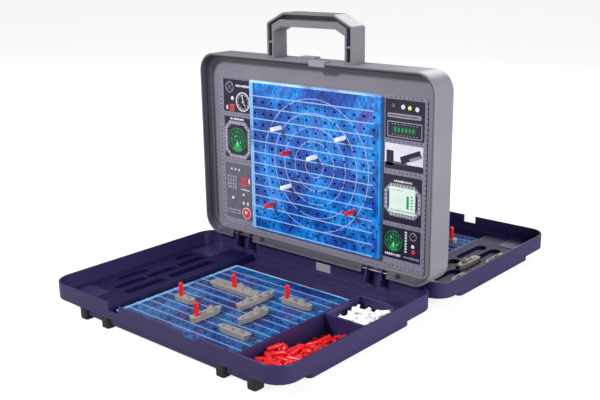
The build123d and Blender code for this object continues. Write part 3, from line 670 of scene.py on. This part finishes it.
    # right strip, bottom: bars, knob, lamps and labels
    put("pale", bars(8, 125.3, 30.5, 0, 3.0, 2.6, 1.9), 0.9, 0.4)
    ring("grey", 134.5, 48.5, 4.4, 0.8, 0.4, 1.0)
    put("grey", [needle(134.5, 48.5, 3.6, 60, 0.8)], 0.9, 0.4)
    put("pale", [disc(134.3, 37.8, 2.0, 14)], 1.1, 0.4)
    put("red", [roundedBlock(135, 31.8, 4.4, 4.4, 0.8)], 1.1, 0.4)
    put("pale", marks(99, 119, 24.3, 2.6, 9), 0.8, 0.4)
    put("grey", marks(123, 141, 24.3, 2.4, 10), 0.8, 0.4)
    return shapes


# One mesh for each ink on each card, turned half a turn for the rear.
def cardPieces():
    face = -cardLow[1]                 # card face from the middle of the frame
    for ink, parts in cardShapes().items():
        if not parts:
            continue
        points, faces = gather(parts)
        for side, sign in sides:
            across, upward, proud = points.T
            place = np.column_stack([sign * across, -sign * (face + proud), rimHeight + upward])
            makePiece(f"{side}_card_{ink}", place, faces, cardInks[ink], "case_frame")


cardPieces()
print("instrument cards built")


pegSize = dict(radius=2.5, body=14.5, tipRadius=1.5, tip=3.6, round=1.0, around=8)
# near is the wall of each bin closest to the frame, and pull the sideways drift of a step. The pan is
# the bin's narrower part below the ledge height, and round its outer corner.
heapSetup = dict(
    red=dict(count=138, near=-124.9, pull=(0.20, -0.05), seed=5),
    white=dict(count=104, near=-67.9, pull=(0.05, 0.0), seed=9),
    steps=380, beads=4, fall=(0.35, 0.1), calm=0.8,     # drop at each step, and at each after this share
    binLeft=115.4, binRight=164.1, panRight=160.0, binFar=-240.6, panFar=-236.4, splitNear=-121.7,
    ledgeX=120.2, ledgeY=-196.6, ledgeUp=8.0, roundX=144.5, roundY=-221.0, roundRadius=19.6,
)


# Lathe profile (distance from the axis, place along it) from the tip to the rounded head.
def pegProfile(size):
    tip, radius, ease = size["tipRadius"], size["radius"], size["round"]
    arc = np.linspace(0, math.pi / 2, 3)
    head = np.column_stack([radius - ease + ease * np.cos(arc), size["body"] - ease + ease * np.sin(arc)])
    foot = np.array([(tip, -size["tip"]), (tip, 0.0), (radius, 0.0)])
    return np.vstack([foot, head])


# Peg along +Z: the profile turned about the axis at even angles.
def pegMesh(size):
    profile = pegProfile(size)
    angle = np.arange(size["around"]) * 2 * math.pi / size["around"]
    rings = np.stack([
        profile[:, None, 0] * np.cos(angle),
        profile[:, None, 0] * np.sin(angle),
        np.repeat(profile[:, 1:2], len(angle), axis=1),
    ], axis=-1)
    return stack(rings)


# Pegs as short rows of beads. Each step lowers them, pushes overlapping beads apart, keeps them inside
# the bin, and then straightens every peg again. Returns centres and directions.
def settlePegs(setup, kind, floorHeight):
    own = setup[kind]
    draw = np.random.default_rng(own["seed"])
    radius, beads = pegSize["radius"], setup["beads"]
    length = pegSize["body"] + pegSize["tip"] - 2 * radius
    offsets = np.linspace(-0.5, 0.5, beads) * length
    near, far = (own["near"], setup["binFar"]) if kind == "red" else (own["near"], setup["splitNear"])
    count = own["count"]
    centre = np.column_stack([
        draw.uniform(setup["binLeft"] + 8, setup["panRight"] - 8, count),
        draw.uniform(far + 8, near - 8, count),
        floorHeight + 6 + np.arange(count) * (60.0 / count),
    ])
    if kind == "red":
        centre[:, 1] = np.clip(centre[:, 1], far + 14, near - 8)
    heading = draw.normal(size=(count, 3)) * (1, 1, 0.35)
    heading /= np.linalg.norm(heading, axis=1)[:, None]
    points = centre[:, None, :] + heading[:, None, :] * offsets[None, :, None]
    owner = np.repeat(np.arange(count), beads)
    other = owner[:, None] != owner[None, :]
    for step in range(setup["steps"]):
        fall = setup["fall"][0] if step < setup["steps"] * setup["calm"] else setup["fall"][1]
        pull = np.array([*own["pull"], -1.0]) * fall
        flat = (points + pull).reshape(-1, 3)
        gap = flat[:, None, :] - flat[None, :, :]
        distance = np.linalg.norm(gap, axis=2) + 1e-6
        push = np.where(other, np.clip(2 * radius - distance, 0, None), 0.0)
        flat = flat + 0.45 * (gap / distance[..., None] * push[..., None]).sum(axis=1)
        low = np.full(len(flat), floorHeight)
        if kind == "red":
            onLedge = (flat[:, 0] > setup["ledgeX"]) & (flat[:, 1] < setup["ledgeY"])
            low = np.where(onLedge, floorHeight + setup["ledgeUp"], low)
        flat[:, 2] = np.maximum(flat[:, 2], low + radius)
        above = flat[:, 2] > floorHeight + setup["ledgeUp"] + radius
        right = np.where(above, setup["binRight"], setup["panRight"])
        flat[:, 0] = np.clip(flat[:, 0], setup["binLeft"] + radius, right - radius)
        farther = np.where(above, far, max(far, setup["panFar"]))
        flat[:, 1] = np.clip(flat[:, 1], farther + radius, near - radius)
        if kind == "red":
            corner = np.array([setup["roundX"], setup["roundY"]])
            away = flat[:, :2] - corner
            reach = np.linalg.norm(away, axis=1)
            outside = (away[:, 0] > 0) & (away[:, 1] < 0) & (reach > setup["roundRadius"] - radius)
            held = corner + away * ((setup["roundRadius"] - radius) / np.maximum(reach, 1e-6))[:, None]
            flat[:, :2] = np.where(outside[:, None], held, flat[:, :2])
        points = flat.reshape(count, beads, 3)
        centre = points.mean(axis=1)
        slope = ((points - centre[:, None, :]) * offsets[None, :, None]).sum(axis=1)
        heading = slope / np.linalg.norm(slope, axis=1)[:, None]
        points = centre[:, None, :] + heading[:, None, :] * offsets[None, :, None]
    return centre, heading


# Turns a copy of the peg on to every heading, with the peg's own middle at every centre.
def placePegs(centre, heading, size):
    base, faces = pegMesh(size)
    base = base - (0, 0, (size["body"] - size["tip"]) / 2)
    spare = np.where(np.abs(heading[:, 2:3]) < 0.9, [[0.0, 0.0, 1.0]], [[1.0, 0.0, 0.0]])
    across = np.cross(spare, heading)
    across /= np.linalg.norm(across, axis=1)[:, None]
    beside = np.cross(heading, across)
    axes = np.stack([across, beside, heading], axis=1)
    points = np.einsum("vk,nkj->nvj", base, axes) + centre[:, None, :]
    starts = np.arange(len(centre)) * len(base)
    allFaces = [[index + start for index in face] for start in starts.tolist() for face in faces]
    return points.reshape(-1, 3), allFaces


def heapPieces():
    floorHeight = oceanLow[2] + 0.5
    for kind, matt in (("red", redPlastic), ("white", whitePlastic)):
        centre, heading = settlePegs(heapSetup, kind, floorHeight)
        points, faces = placePegs(centre, heading, pegSize)
        for side, sign in sides:
            piece = makePiece(
                f"{side}_loose_{kind}_pegs", points * (sign, sign, 1), faces, matt,
                f"{side}_tray", smooth=True,
            )
            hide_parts(f"{side}_{kind}_peg_heap")


heapPieces()
print("loose pegs settled")


shipKinds = ("carrier", "battleship", "cruiser", "patrol_boat", "frigate", "destroyer", "gunboat")
finishes = {
    "tray_shell": navyShell, "tray_feet": feetBlack, "ship_rack": navySheetShaded, "base_pad": catchGrey,
    "catch": catchGrey, "instrument_card": cardInks["lilac"],
    "white_target_pegs": whitePlastic, "red_target_pegs": redPlastic,
}
for node in ("frame_front_half", "frame_rear_half"):
    paint(node, frameGrey)
paint("handle", handleGrey)
for node in ("hinge_pins", "frame_screws"):
    paint(node, steel)
for side, sign in sides:
    for ending, matt in finishes.items():
        paint(f"{side}_{ending}", matt)
    # the target grid is given a faint painted glow (0.03), the ocean board none
    grid = printedBoard(
        f"printed styrene, {side} target grid", sign, 2, gridTop - firstRow, 0.0,
        gridRings, gridPalette, gridLines, 0.03, boardPrint
    )
    paint(f"{side}_target_grid", grid)
    ocean = printedBoard(
        f"printed styrene, {side} ocean board", sign, 1, oceanHigh[1] - firstRow,
        (oceanLow[0] + oceanHigh[0]) / 2, None, oceanPalette, oceanLines, 0.0, boardPrint
    )
    paint(f"{side}_ocean_board", ocean)
    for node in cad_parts:
        if node.startswith(side) and node.endswith("_peg"):
            paint(node, redPlastic)
        elif node.startswith(side) and node.endswith(shipKinds):
            paint(node, shipGrey)
print("finishes assigned")
